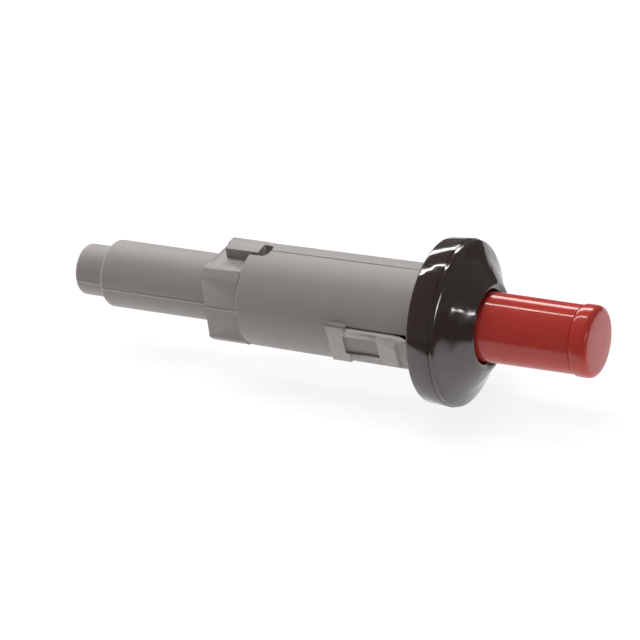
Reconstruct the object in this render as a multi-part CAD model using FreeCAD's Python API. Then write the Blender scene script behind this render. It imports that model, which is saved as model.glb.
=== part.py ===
import FreeCAD, Part
import math
import os

# Push-button piezo igniter for a round panel hole.
# Millimetres. The origin is the centre of the bezel's back face, where the panel sits.
# +X runs along the axis towards the button, and +Z goes through the barrel's seam.

Vector = FreeCAD.Vector
ORIGIN = Vector(0, 0, 0)
AXIS = Vector(1, 0, 0)

# Fits between pieces of one body, and running gaps between pieces that move
SEAT_GAP = 0.05
PRESS_GAP = 0.02
RUNNING_GAP = 0.08
MOVING_GAP = 0.3

# Barrel: moulded sleeve that passes through the panel
BARREL_FRONT_R = 11.1
BARREL_REAR_R = 10.82
BARREL_LENGTH = 42.4
BARREL_BORE_R = 8.9
NOSE_R = 10.2
NOSE_LENGTH = 4.0
NOSE_BEAD_HEIGHT = 0.2
SHOULDER_SEAT = 0.4
SHOULDER_GAP = 0.25
SEAM_WIDTH = 0.4
SEAM_DEPTH = 0.4
NOTCH_WIDTH = 4.4
NOTCH_LENGTH = 4.2
NOTCH_CORNER = 0.8
PARTING_NICK = 0.7
REAR_EDGE_R = 0.5

# Snap tabs, cut free from the barrel's wall
TAB_ANGLES = (102.0, -102.0)
TAB_HALF_WIDTH = 3.8
TAB_SLOT = 0.35
TAB_TOP = 11.25
TAB_INNER_R = 9.45
TAB_ROOT_X = -16.5
TAB_FRONT_GAP = 1.2
PAD_LENGTH = 4.3
PAD_HALF_WIDTH = 4.6
PAD_TOP = 11.35
RAMP_START_X = -9.5
RAMP_HALF_WIDTH = 2.2
CREST_X = -4.6
CREST_HALF_WIDTH = 2.4
CREST_TOP = 12.75
CREST_EDGE = 11.3
CREST_UNDER = 10.3
BARB_DROP = 0.6
BARB_STEPS = 3
BARB_STEP_HEIGHT = 0.12
BARB_STEP_SLANT = 0.25
TIP_X = -2.3
TIP_EDGE = 11.85
TIP_UNDER = 11.2
POCKET_HALF_WIDTH = 2.3
POCKET_LENGTH = 7.9
POCKET_FLOOR = 10.7

# Bezel: ring with a domed front, cored from the back
BEZEL_BACK_R = 16.6
BEZEL_RIM_R = 17.4
BEZEL_RIM_LENGTH = 5.1
BEZEL_STEP = 0.25
BEZEL_EDGE_X = 6.1
BEZEL_EDGE_R = 17.2
BEZEL_FLARE_X = 7.9
BEZEL_FLARE_R = 13.4
BEZEL_FRONT_X = 11.3
BEZEL_LIP_R = 8.9
BEZEL_HOLE_R = 7.6
CORE_INNER_R = 12.1
CORE_OUTER_R = 14.3
CORE_DEPTH = 4.2
CORE_RIBS = 12
CORE_RIB_WIDTH = 1.0

# Rear housing: block, tube and stepped tip
SPIGOT_LENGTH = 4.0
BLOCK_LENGTH = 8.6
BLOCK_HALF_Y = 8.4
BLOCK_HALF_Z = 8.7
BLOCK_CORNER_R = 11.0
BLOCK_EDGE_R = 0.8
REBATE_HALF_WIDTH = 4.3
REBATE_DEPTH = 0.35
REBATE_START = 1.3
TUBE_FRONT_R = 7.14
TUBE_REAR_R = 7.2
TUBE_LENGTH = 26.5
TUBE_SHOULDER_R = 1.0
TIP_R = 5.5
TIP_LENGTH = 7.2
TIP_EDGE_R = 1.0
SOCKET_R = 3.7
SOCKET_DEPTH = 7.5
FLOOR_THICKNESS = 1.5
HOUSING_BORE_R = 5.4
FLASH_WIDTH = 0.3
FLASH_HEIGHT = 0.14

# Snap hook on the rear housing, which fills the barrel's notch
HOOK_HALF_WIDTH = 1.67
HOOK_TOP = 10.95
HOOK_REAR = 5.7
HOOK_FRONT = 2.0
HOOK_SLANT = 0.2

# Button: hollow cap with a stop flange and a skirt with two cams
BUTTON_BASE_R = 7.24
BUTTON_TOP_R = 7.1
BUTTON_GROOVE_X = 30.8
BUTTON_GROOVE_DEPTH = 0.15
BUTTON_LIP_R = 7.45
BUTTON_FACE_X = 34.8
BUTTON_FACE_R = 6.3
BUTTON_FACE_WALL = 1.8
BUTTON_BORE_R = 5.9
FLANGE_R = 8.6
FLANGE_LENGTH = 3.0
SKIRT_R = 6.9
SKIRT_PIN_GAP = 0.6
CAM_START_ANGLE = 14.0
CAM_SPAN = 34.0
CAM_TIP_OFFSET = 2.7
BUTTON_TRAVEL = 13.0

# Plunger: post inside the button that carries the impact spring
PLUNGER_SEAT_X = 14.0
PLUNGER_DISC = 2.0
PLUNGER_POST_R = 2.4
PLUNGER_POST_LENGTH = 5.0
PLUNGER_RIB = 1.6

# Guide sleeve: two windows with a latch ledge each
GUIDE_BORE_R = 4.4
GUIDE_R = 5.6
GUIDE_FRONT_X = -4.0
GUIDE_FLANGE_R = 8.8
GUIDE_FLANGE = 2.0
BUFFER_WASHER = 0.8
LEDGE_LENGTH = 2.0
LATCH_ANGLE = 15.0

# Hammer, its cross pin and its washer
HAMMER_TRAVEL = 10.5
HAMMER_BODY_LENGTH = 11.7
HAMMER_NOSE_R = 2.5
HAMMER_NOSE_LENGTH = 3.0
PIN_R = 1.2
PIN_HALF_LENGTH = 6.7
PIN_FROM_FRONT = 5.0
WASHER_THICKNESS = 0.8
WASHER_HOLE_R = 1.6

# Springs: sides of the wire, wire radius, mean radius and turns
WIRE_SIDES = 8
RETURN_WIRE_R = 0.45
RETURN_MEAN_R = 7.75
RETURN_TURNS = 9
IMPACT_WIRE_R = 0.55
IMPACT_MEAN_R = 3.3
IMPACT_TURNS = 9
RESET_WIRE_R = 0.3
RESET_MEAN_R = 3.35
RESET_TURNS = 5

# Ceramic stack in the rear tube
STACK_R = 3.15
CERAMIC_LENGTH = 13.0
CENTRE_PLATE = 0.4
ANVIL_BODY = 2.0
ANVIL_FLANGE = 1.0
ANVIL_FLANGE_R = 4.2
ANVIL_NOSE = 1.7
ANVIL_NOSE_R = 2.2
STRIP_THICKNESS = 0.3
STRIP_WIDTH = 2.4
STRIP_FOOT_R = 11.25
STRIP_SETBACK = 0.8

# High-tension terminal pin
TERMINAL_R = 1.2
TERMINAL_SHANK_R = 1.5
TERMINAL_RECESS = 1.7
TERMINAL_ROOT = 2.0
TERMINAL_TAPER = 0.4

# Stations worked out from the sizes above, from the rear to the front
BARREL_REAR_X = -BARREL_LENGTH
BLOCK_REAR_X = BARREL_REAR_X - BLOCK_LENGTH
TUBE_REAR_X = BLOCK_REAR_X - TUBE_LENGTH
TIP_REAR_X = TUBE_REAR_X - TIP_LENGTH
SPIGOT_FRONT_X = BARREL_REAR_X + SPIGOT_LENGTH
STRIP_FRONT_X = BARREL_REAR_X + STRIP_SETBACK
ANVIL_FLANGE_FRONT_X = STRIP_FRONT_X - STRIP_THICKNESS
ANVIL_NOSE_X = ANVIL_FLANGE_FRONT_X + ANVIL_NOSE
ANVIL_FLANGE_REAR_X = ANVIL_FLANGE_FRONT_X - ANVIL_FLANGE
ANVIL_REAR_X = ANVIL_FLANGE_REAR_X - ANVIL_BODY
CERAMIC_FRONT_REAR_X = ANVIL_REAR_X - CERAMIC_LENGTH
PLATE_REAR_X = CERAMIC_FRONT_REAR_X - CENTRE_PLATE
CERAMIC_REAR_REAR_X = PLATE_REAR_X - CERAMIC_LENGTH
FLOOR_REAR_X = TIP_REAR_X + SOCKET_DEPTH
FLOOR_FRONT_X = FLOOR_REAR_X + FLOOR_THICKNESS
SLEEVE_FRONT_X = ANVIL_FLANGE_REAR_X - ANVIL_BODY / 4
GUIDE_TAIL_X = STRIP_FRONT_X + SEAT_GAP
GUIDE_FLANGE_FRONT_X = SPIGOT_FRONT_X + GUIDE_FLANGE
BUFFER_FRONT_X = GUIDE_FLANGE_FRONT_X + BUFFER_WASHER
HAMMER_NOSE_X = ANVIL_NOSE_X + HAMMER_TRAVEL
HAMMER_SHOULDER_X = HAMMER_NOSE_X + HAMMER_NOSE_LENGTH
HAMMER_FRONT_X = HAMMER_SHOULDER_X + HAMMER_BODY_LENGTH
PIN_X = HAMMER_FRONT_X - PIN_FROM_FRONT
WASHER_FRONT_X = HAMMER_FRONT_X + WASHER_THICKNESS
HAMMER_R = GUIDE_BORE_R - RUNNING_GAP
FLANGE_FRONT_X = NOSE_LENGTH - MOVING_GAP
FLANGE_REAR_X = FLANGE_FRONT_X - FLANGE_LENGTH
SKIRT_REAR_X = PIN_X + PIN_R + SKIRT_PIN_GAP + BUTTON_TRAVEL
SLANT_TOP_X = PIN_X + math.sqrt(2) * (PIN_R + MOVING_GAP) + BUTTON_TRAVEL
CAM_REAR_X = SLANT_TOP_X - CAM_TIP_OFFSET
BUTTON_CEILING_X = BUTTON_FACE_X - BUTTON_FACE_WALL
TERMINAL_END_X = TIP_REAR_X + TERMINAL_RECESS
INNER_FIT_R = HOUSING_BORE_R - SEAT_GAP


# Shared shapes

def point(x, r):
    """A point of a half section: its station and its distance from the axis."""
    return Vector(x, 0, r)


def outline(start, *steps):
    """Closed wire of a half section. A step is a point, or a pair of points for an arc."""
    edges = []
    here = point(*start)
    for step in steps + (start,):
        if isinstance(step[0], tuple):
            middle = point(*step[0])
            there = point(*step[1])
            edges.append(Part.Arc(here, middle, there).toShape())
        else:
            there = point(*step)
            edges.append(Part.LineSegment(here, there).toShape())
        here = there
    return Part.Wire(edges)


def turned(start, *steps):
    """Solid of revolution about the axis."""
    face = Part.Face(outline(start, *steps))
    return face.revolve(ORIGIN, AXIS, 360)


def rod(x0, x1, r):
    """Round bar along the axis."""
    return Part.makeCylinder(r, x1 - x0, Vector(x0, 0, 0), AXIS)


def ring(x0, x1, inner_r, outer_r):
    """Tube along the axis."""
    return rod(x0, x1, outer_r).cut(rod(x0 - 1, x1 + 1, inner_r))


def box(x0, x1, y0, y1, z0, z1):
    """Block between two corners."""
    return Part.makeBox(x1 - x0, y1 - y0, z1 - z0, Vector(x0, y0, z0))


def turned_about(shape, angle):
    """Copy of a shape, turned about the axis."""
    copy = shape.copy()
    copy.rotate(ORIGIN, AXIS, angle)
    return copy


def side_plate(points, half_width):
    """Plate of an outline in X and Z, as thick as twice the half width."""
    corners = [Vector(x, -half_width, z) for x, z in points]
    face = Part.Face(Part.makePolygon(corners + corners[:1]))
    return face.extrude(Vector(0, 2 * half_width, 0))


def arc_mid(centre, r, degrees):
    """Middle point of a round corner of a half section."""
    a = math.radians(degrees)
    return (centre[0] + r * math.cos(a), centre[1] + r * math.sin(a))


def coil(x0, x1, mean_r, wire_r, turns):
    """Compression spring of eight-sided wire whose ends lie on the planes x0 and x1."""
    pitch = (x1 - x0 - 2 * wire_r) / turns
    helix = Part.makeHelix(pitch, pitch * turns, mean_r)
    corner_r = wire_r / math.cos(math.pi / WIRE_SIDES)
    corners = []
    for index in range(WIRE_SIDES):
        a = 2 * math.pi * (index + 0.5) / WIRE_SIDES
        corners.append(Vector(mean_r + corner_r * math.cos(a), 0, corner_r * math.sin(a)))
    section = Part.makePolygon(corners + corners[:1])
    solid = Part.Wire(helix.Edges).makePipeShell([section], True, True)
    solid.rotate(ORIGIN, Vector(0, 1, 0), 90)
    solid.translate(Vector(x0 + wire_r, 0, 0))
    return solid


# Barrel

def barrel_sleeve():
    """Drafted sleeve with a reduced nose, a snap bead and a rounded rear edge."""
    bead_r = NOSE_R + NOSE_BEAD_HEIGHT
    corner = (BARREL_REAR_X + REAR_EDGE_R, BARREL_REAR_R - REAR_EDGE_R)
    return turned(
        (BARREL_REAR_X, BARREL_BORE_R),
        (BARREL_REAR_X, BARREL_REAR_R - REAR_EDGE_R),
        (arc_mid(corner, REAR_EDGE_R, 135), (BARREL_REAR_X + REAR_EDGE_R, BARREL_REAR_R)),
        (SHOULDER_SEAT, BARREL_FRONT_R),
        (SHOULDER_SEAT, NOSE_R),
        (NOSE_LENGTH * 0.4, NOSE_R),
        (NOSE_LENGTH * 0.5, bead_r),
        (NOSE_LENGTH * 0.6, bead_r),
        (NOSE_LENGTH * 0.7, NOSE_R),
        (NOSE_LENGTH, NOSE_R),
        (NOSE_LENGTH, BARREL_BORE_R),
    )


def seam_and_notch():
    """Seam groove along the top, the notch for the hook, and the nick at the parting line."""
    top = BARREL_FRONT_R + 1
    half = NOTCH_WIDTH / 2
    notch_front = BARREL_REAR_X + NOTCH_LENGTH
    plan = [
        (BARREL_REAR_X - 1, -half),
        (notch_front - NOTCH_CORNER, -half),
        (notch_front, -half + NOTCH_CORNER),
        (notch_front, half - NOTCH_CORNER),
        (notch_front - NOTCH_CORNER, half),
        (BARREL_REAR_X - 1, half),
    ]
    corners = [Vector(x, y, BARREL_BORE_R - 2) for x, y in plan]
    notch = Part.Face(Part.makePolygon(corners + corners[:1])).extrude(Vector(0, 0, top))
    groove_floor = BARREL_REAR_R - SEAM_DEPTH
    seam = box(notch_front - 0.1, 0, -SEAM_WIDTH / 2, SEAM_WIDTH / 2, groove_floor, top)
    nick_half = PARTING_NICK
    nick_plan = [
        (BARREL_REAR_X - 1, -nick_half - 1),
        (BARREL_REAR_X + nick_half, 0),
        (BARREL_REAR_X - 1, nick_half + 1),
    ]
    nick = side_plate(nick_plan, BARREL_FRONT_R + 1)
    nick = nick.cut(rod(BARREL_REAR_X - 2, BARREL_REAR_X + 2, BARREL_BORE_R + 0.6))
    return notch.fuse(seam).fuse(nick)


def barb_section(x, top_half, top, edge, under):
    """Cross section of the barb at a station: flat top, sloped flanks, straight sides."""
    wide = TAB_HALF_WIDTH
    corners = [(-wide, under), (-wide, edge), (-top_half, top), (top_half, top), (wide, edge), (wide, under)]
    points = [Vector(x, y, z) for y, z in corners]
    return Part.makePolygon(points + points[:1])


def barb():
    """Ramp up to the crest, then a stepped ledge down to the splayed tip."""
    start = barb_section(RAMP_START_X, RAMP_HALF_WIDTH, TAB_TOP, TAB_TOP, TAB_INNER_R)
    crest = barb_section(CREST_X, CREST_HALF_WIDTH, CREST_TOP, CREST_EDGE, CREST_UNDER)
    tip = barb_section(TIP_X, CREST_HALF_WIDTH, CREST_TOP, TIP_EDGE, TIP_UNDER)
    body = Part.makeLoft([start, crest], True, True).fuse(Part.makeLoft([crest, tip], True, True))
    run = (TIP_X - CREST_X) / BARB_STEPS
    ledge = CREST_TOP - BARB_DROP
    cutter = [(CREST_X, CREST_TOP + 1), (CREST_X, CREST_TOP)]
    for step in range(BARB_STEPS):
        x = CREST_X + run * step
        z = ledge - BARB_STEP_HEIGHT * step
        cutter.append((x + BARB_STEP_SLANT, z))
        cutter.append((x + run, z))
    cutter.append((TIP_X + 1, ledge - BARB_STEP_HEIGHT * BARB_STEPS))
    cutter.append((TIP_X + 1, CREST_TOP + 1))
    return body.cut(side_plate(cutter, TAB_HALF_WIDTH + 1))


def tab():
    """Snap tab in its own place at the top of the barrel: flat rails and barb."""
    strip = box(TAB_ROOT_X - 0.5, RAMP_START_X, -TAB_HALF_WIDTH, TAB_HALF_WIDTH, TAB_INNER_R / 2, TAB_TOP)
    rails = strip.common(ring(TAB_ROOT_X - 0.5, RAMP_START_X, TAB_INNER_R, CREST_TOP))
    return rails.fuse(barb())


def root_pad():
    """Raised pad at the tab's root, flat on top like the tab."""
    pad_rear = TAB_ROOT_X - PAD_LENGTH
    block = box(pad_rear, TAB_ROOT_X, -PAD_HALF_WIDTH, PAD_HALF_WIDTH, BARREL_BORE_R / 2, PAD_TOP)
    return block.common(ring(pad_rear, TAB_ROOT_X, TAB_INNER_R, CREST_TOP))


def pocket():
    """Cored pocket between the rails, which runs a little into the root pad."""
    rear = RAMP_START_X - POCKET_LENGTH
    wide = POCKET_HALF_WIDTH
    return box(rear, RAMP_START_X - 0.2, -wide, wide, POCKET_FLOOR, CREST_TOP)


def strip_channel():
    """Groove in the bore for the ground strip, and the slot where its foot comes out."""
    half = STRIP_WIDTH / 2 + MOVING_GAP / 2
    deep = BARREL_BORE_R + STRIP_THICKNESS + 0.15
    foot_x = -TAB_FRONT_GAP - STRIP_THICKNESS
    groove = box(BARREL_REAR_X - 1, foot_x + 0.4, -half, half, -deep, -BARREL_BORE_R + 1)
    slot = box(foot_x - 0.2, foot_x + 0.5, -half, half, -BARREL_FRONT_R - 1, -BARREL_BORE_R + 1)
    return groove.fuse(slot)


def barrel():
    """Barrel with its snap tabs in one moulding."""
    body = barrel_sleeve().cut(seam_and_notch()).cut(strip_channel())
    opening = TAB_HALF_WIDTH + TAB_SLOT
    for angle in TAB_ANGLES:
        window = box(TAB_ROOT_X, -TAB_FRONT_GAP, -opening, opening, BARREL_BORE_R / 2, CREST_TOP)
        body = body.cut(turned_about(window, angle))
        body = body.fuse(turned_about(root_pad().fuse(tab()), angle))
        body = body.cut(turned_about(pocket(), angle))
    return body


# Bezel

def bezel():
    """Bezel ring: rim, stepped edge, flared dome, and a back that is cored between ribs."""
    bore_r = NOSE_R + SEAT_GAP
    bead_r = bore_r + NOSE_BEAD_HEIGHT
    seat_r = BARREL_FRONT_R + SHOULDER_GAP
    rim_top = BEZEL_RIM_LENGTH
    body = turned(
        (SHOULDER_SEAT, bore_r),
        (SHOULDER_SEAT, seat_r),
        (0, seat_r),
        (0, BEZEL_BACK_R),
        ((0.15, BEZEL_BACK_R + 0.35), (0.5, BEZEL_BACK_R + 0.5)),
        (rim_top, BEZEL_RIM_R),
        (rim_top, BEZEL_RIM_R - BEZEL_STEP),
        (rim_top + 0.3, BEZEL_RIM_R - BEZEL_STEP),
        (BEZEL_EDGE_X - 0.2, BEZEL_EDGE_R),
        ((BEZEL_EDGE_X + 0.1, BEZEL_EDGE_R - 0.2), (BEZEL_EDGE_X + 0.25, BEZEL_EDGE_R - 0.6)),
        ((7.0, 14.9), (BEZEL_FLARE_X, BEZEL_FLARE_R)),
        (BEZEL_FRONT_X - 0.25, BEZEL_LIP_R + 0.3),
        ((BEZEL_FRONT_X, BEZEL_LIP_R - 0.1), (BEZEL_FRONT_X - 0.1, BEZEL_LIP_R - 0.6)),
        (BEZEL_FRONT_X - 0.6, BEZEL_HOLE_R),
        (NOSE_LENGTH, BEZEL_HOLE_R),
        (NOSE_LENGTH, bore_r),
        (NOSE_LENGTH * 0.7, bore_r),
        (NOSE_LENGTH * 0.6, bead_r),
        (NOSE_LENGTH * 0.5, bead_r),
        (NOSE_LENGTH * 0.4, bore_r),
    )
    core = ring(-1, CORE_DEPTH, CORE_INNER_R, CORE_OUTER_R)
    for index in range(CORE_RIBS):
        rib = box(-2, CORE_DEPTH, -CORE_RIB_WIDTH / 2, CORE_RIB_WIDTH / 2, CORE_INNER_R - 1, CORE_OUTER_R + 1)
        core = core.cut(turned_about(rib, 360 * (index + 0.5) / CORE_RIBS))
    return body.cut(core)


# Rear housing

def housing_skin():
    """Drafted tube with its stepped tip."""
    step_corner = (TUBE_REAR_X + TUBE_SHOULDER_R, TUBE_REAR_R - TUBE_SHOULDER_R)
    tip_corner = (TIP_REAR_X + TIP_EDGE_R, TIP_R - TIP_EDGE_R)
    return turned(
        (TIP_REAR_X, 0),
        (TIP_REAR_X, TIP_R - TIP_EDGE_R),
        (arc_mid(tip_corner, TIP_EDGE_R, 135), (TIP_REAR_X + TIP_EDGE_R, TIP_R)),
        (TUBE_REAR_X, TIP_R),
        (TUBE_REAR_X, TUBE_REAR_R - TUBE_SHOULDER_R),
        (arc_mid(step_corner, TUBE_SHOULDER_R, 135), (TUBE_REAR_X + TUBE_SHOULDER_R, TUBE_REAR_R)),
        (BLOCK_REAR_X, TUBE_FRONT_R),
        (BARREL_REAR_X, TUBE_FRONT_R),
        (BARREL_REAR_X, 0),
    )


def housing_block():
    """Square block with trimmed corners, its top rebate, and the spigot in front of it."""
    block = box(BLOCK_REAR_X, BARREL_REAR_X, -BLOCK_HALF_Y, BLOCK_HALF_Y, -BLOCK_HALF_Z, BLOCK_HALF_Z)
    block = block.common(rod(BLOCK_REAR_X - 1, BARREL_REAR_X + 1, BLOCK_CORNER_R))
    long_edges = [e for e in block.Edges if abs(e.tangentAt(e.FirstParameter).x) > 0.99]
    block = block.makeFillet(BLOCK_EDGE_R, long_edges)
    rebate_x = BLOCK_REAR_X + REBATE_START
    for side in (1, -1):
        low = min(side * (BLOCK_HALF_Z - REBATE_DEPTH), side * (BLOCK_HALF_Z + 1))
        rebate = box(BLOCK_REAR_X - 1, rebate_x, -REBATE_HALF_WIDTH, REBATE_HALF_WIDTH, low, low + REBATE_DEPTH + 1)
        block = block.cut(rebate)
    spigot = rod(BARREL_REAR_X, SPIGOT_FRONT_X, BARREL_BORE_R - SEAT_GAP)
    return block.fuse(spigot)


def hook():
    """Snap hook that stands on the block and fills the barrel's notch."""
    rear = BARREL_REAR_X - HOOK_REAR
    front = BARREL_REAR_X + HOOK_FRONT
    root = BLOCK_HALF_Z - 1
    points = [
        (rear, root),
        (rear, HOOK_TOP),
        (front - HOOK_SLANT, HOOK_TOP),
        (front, HOOK_TOP - HOOK_SLANT),
        (front, root),
    ]
    return side_plate(points, HOOK_HALF_WIDTH)


def flash_lines():
    """Fine raised parting line on both sides of the tube, the tip and the block."""
    lines = []
    spans = (
        (TIP_REAR_X + TIP_EDGE_R, TUBE_REAR_X, TIP_R),
        (TUBE_REAR_X + TUBE_SHOULDER_R, BLOCK_REAR_X, TUBE_FRONT_R),
        (BLOCK_REAR_X, BARREL_REAR_X, BLOCK_HALF_Y),
    )
    for x0, x1, r in spans:
        reach = r + FLASH_HEIGHT
        for y0 in (-reach, reach - 0.5):
            lines.append(box(x0, x1, y0, y0 + 0.5, -FLASH_WIDTH / 2, FLASH_WIDTH / 2))
    return lines


def rear_housing():
    """Rear housing: block, tube and tip in one moulding, bored from both ends."""
    body = housing_skin().fuse(housing_block()).fuse(hook())
    for line in flash_lines():
        body = body.fuse(line)
    body = body.cut(rod(FLOOR_FRONT_X, SPIGOT_FRONT_X + 1, HOUSING_BORE_R))
    body = body.cut(rod(TIP_REAR_X - 1, FLOOR_REAR_X, SOCKET_R))
    body = body.cut(rod(FLOOR_REAR_X - 1, FLOOR_FRONT_X + 1, TERMINAL_SHANK_R + SEAT_GAP))
    half = STRIP_WIDTH / 2 + MOVING_GAP / 2
    arm_slot = box(ANVIL_FLANGE_FRONT_X - 0.1, SPIGOT_FRONT_X + 1, -half, half, -BARREL_BORE_R - 1, -4)
    body = body.cut(arm_slot)
    return body.removeSplitter()


# Button and plunger

def button_shell():
    """Drafted cap with a groove, a rounded lip, a stop flange and the skirt behind it."""
    lip_back = BUTTON_GROOVE_X + 0.45
    lip_front = BUTTON_FACE_X - 1.15
    return turned(
        (SKIRT_REAR_X, BUTTON_BORE_R),
        (SKIRT_REAR_X, SKIRT_R),
        (FLANGE_REAR_X, SKIRT_R),
        (FLANGE_REAR_X, FLANGE_R),
        (FLANGE_FRONT_X - 0.4, FLANGE_R),
        (FLANGE_FRONT_X, FLANGE_R - 0.4),
        (FLANGE_FRONT_X, BUTTON_BASE_R),
        (BUTTON_GROOVE_X, BUTTON_TOP_R),
        (BUTTON_GROOVE_X + 0.1, BUTTON_TOP_R - BUTTON_GROOVE_DEPTH),
        (BUTTON_GROOVE_X + 0.25, BUTTON_TOP_R - BUTTON_GROOVE_DEPTH),
        (lip_back, BUTTON_LIP_R - 0.1),
        ((lip_back + 0.25, BUTTON_LIP_R), (lip_back + 0.6, BUTTON_LIP_R)),
        (lip_front, BUTTON_LIP_R - 0.05),
        ((BUTTON_FACE_X - 0.33, BUTTON_FACE_R + 0.77), (BUTTON_FACE_X, BUTTON_FACE_R)),
        (BUTTON_FACE_X, 0),
        (BUTTON_CEILING_X, 0),
        (BUTTON_CEILING_X, BUTTON_BORE_R),
    )


def cam():
    """One cam finger on the skirt's rear edge, cut at 45 degrees to meet the latched pin's side."""
    finger = ring(CAM_REAR_X, SKIRT_REAR_X + 0.5, BUTTON_BORE_R, SKIRT_R)
    wide = 2 * SKIRT_R
    quarter = box(CAM_REAR_X - 1, SKIRT_REAR_X + 1, 0, wide, 0, wide)
    sector = quarter.common(turned_about(quarter, CAM_SPAN - 90))
    finger = finger.common(turned_about(sector, CAM_START_ANGLE))
    deep = 2 * CAM_TIP_OFFSET
    slant = [(SLANT_TOP_X + 1, -1), (SLANT_TOP_X - deep, deep), (SLANT_TOP_X - deep, -1)]
    return finger.cut(turned_about(side_plate(slant, wide), LATCH_ANGLE))


def button():
    """Push button with its two cams."""
    body = button_shell()
    for side in (0, 180):
        body = body.fuse(turned_about(cam(), side))
    return body.removeSplitter()


def plunger():
    """Cross-ribbed post pressed into the button, with a disc and a peg for the impact spring."""
    fit_r = BUTTON_BORE_R - SEAT_GAP
    disc = rod(PLUNGER_SEAT_X, PLUNGER_SEAT_X + PLUNGER_DISC, fit_r)
    peg = rod(PLUNGER_SEAT_X - PLUNGER_POST_LENGTH, PLUNGER_SEAT_X, PLUNGER_POST_R)
    body = disc.fuse(peg)
    envelope = rod(PLUNGER_SEAT_X, BUTTON_CEILING_X, fit_r)
    for angle in (0, 90):
        rib = box(PLUNGER_SEAT_X, BUTTON_CEILING_X, -PLUNGER_RIB / 2, PLUNGER_RIB / 2, -fit_r, fit_r)
        body = body.fuse(turned_about(rib, angle).common(envelope))
    return body.removeSplitter()


# Guide sleeve and hammer

def pin_window():
    """Wide window for the cross pin, with a ledge that narrows it to a lane."""
    rear = PIN_X - HAMMER_TRAVEL - PIN_R - MOVING_GAP
    front = PIN_X + PIN_R + MOVING_GAP
    ledge_front = PIN_X - PIN_R - RUNNING_GAP
    ledge_rear = ledge_front - LEDGE_LENGTH
    half = PIN_R + MOVING_GAP
    reach = GUIDE_R + 1
    window = box(rear, front, -reach, reach, -half, half)
    for angle in (LATCH_ANGLE / 2, LATCH_ANGLE):
        for x0, x1 in ((rear, ledge_rear), (ledge_front, front)):
            window = window.fuse(turned_about(box(x0, x1, -reach, reach, -half, half), angle))
    return window


def guide_sleeve():
    """Guide sleeve: flange on the spigot, tail in the housing's bore, two pin windows."""
    body = ring(GUIDE_TAIL_X, SPIGOT_FRONT_X + 0.5, GUIDE_BORE_R, INNER_FIT_R)
    body = body.fuse(ring(SPIGOT_FRONT_X, GUIDE_FLANGE_FRONT_X, GUIDE_BORE_R, GUIDE_FLANGE_R))
    body = body.fuse(ring(GUIDE_FLANGE_FRONT_X - 0.5, GUIDE_FRONT_X, GUIDE_BORE_R, GUIDE_R))
    body = body.cut(pin_window())
    half = STRIP_WIDTH / 2 + MOVING_GAP / 2
    strip_notch = box(SPIGOT_FRONT_X - 1, GUIDE_FLANGE_FRONT_X + 1, -half, half, -GUIDE_FLANGE_R - 1, -GUIDE_FLANGE_R + 0.5)
    return body.cut(strip_notch).removeSplitter()


def hammer():
    """Turned striker with a reduced nose and a cross hole."""
    body = turned(
        (HAMMER_NOSE_X, 0),
        (HAMMER_NOSE_X, HAMMER_NOSE_R - 0.6),
        (HAMMER_NOSE_X + 0.6, HAMMER_NOSE_R),
        (HAMMER_SHOULDER_X, HAMMER_NOSE_R),
        (HAMMER_SHOULDER_X, HAMMER_R - 0.3),
        (HAMMER_SHOULDER_X + 0.3, HAMMER_R),
        (HAMMER_FRONT_X - 0.3, HAMMER_R),
        (HAMMER_FRONT_X, HAMMER_R - 0.3),
        (HAMMER_FRONT_X, 0),
    )
    hole = Part.makeCylinder(PIN_R + PRESS_GAP, 2 * GUIDE_R, Vector(PIN_X, -GUIDE_R, 0), Vector(0, 1, 0))
    return body.cut(hole)


def cross_pin():
    """Pin through the hammer, whose ends run in the guide's windows."""
    start = Vector(PIN_X, -PIN_HALF_LENGTH, 0)
    return Part.makeCylinder(PIN_R, 2 * PIN_HALF_LENGTH, start, Vector(0, 1, 0))


# Ceramic stack and contacts

def anvil():
    """Impact cap: body on the ceramic, flange in the rubber ring, nose for the hammer."""
    return turned(
        (ANVIL_REAR_X, 0),
        (ANVIL_REAR_X, STACK_R),
        (ANVIL_FLANGE_REAR_X, STACK_R),
        (ANVIL_FLANGE_REAR_X, ANVIL_FLANGE_R),
        (ANVIL_FLANGE_FRONT_X, ANVIL_FLANGE_R),
        (ANVIL_FLANGE_FRONT_X, ANVIL_NOSE_R),
        (ANVIL_NOSE_X - 0.4, ANVIL_NOSE_R),
        (ANVIL_NOSE_X, ANVIL_NOSE_R - 0.5),
        (ANVIL_NOSE_X, 0),
    )


def rear_electrode():
    """Metal block behind the ceramics, bored for the terminal pin's root."""
    body = rod(FLOOR_FRONT_X, CERAMIC_REAR_REAR_X, STACK_R)
    return body.cut(rod(FLOOR_FRONT_X - 1, FLOOR_FRONT_X + TERMINAL_ROOT, TERMINAL_SHANK_R))


def terminal_pin():
    """Round pin with a thicker shank through the floor and a tapered free end."""
    return turned(
        (TERMINAL_END_X, 0),
        (TERMINAL_END_X, TERMINAL_R - TERMINAL_TAPER),
        (TERMINAL_END_X + TERMINAL_TAPER, TERMINAL_R),
        (FLOOR_REAR_X, TERMINAL_R),
        (FLOOR_REAR_X, TERMINAL_SHANK_R),
        (FLOOR_FRONT_X + TERMINAL_ROOT, TERMINAL_SHANK_R),
        (FLOOR_FRONT_X + TERMINAL_ROOT, 0),
    )


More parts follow.
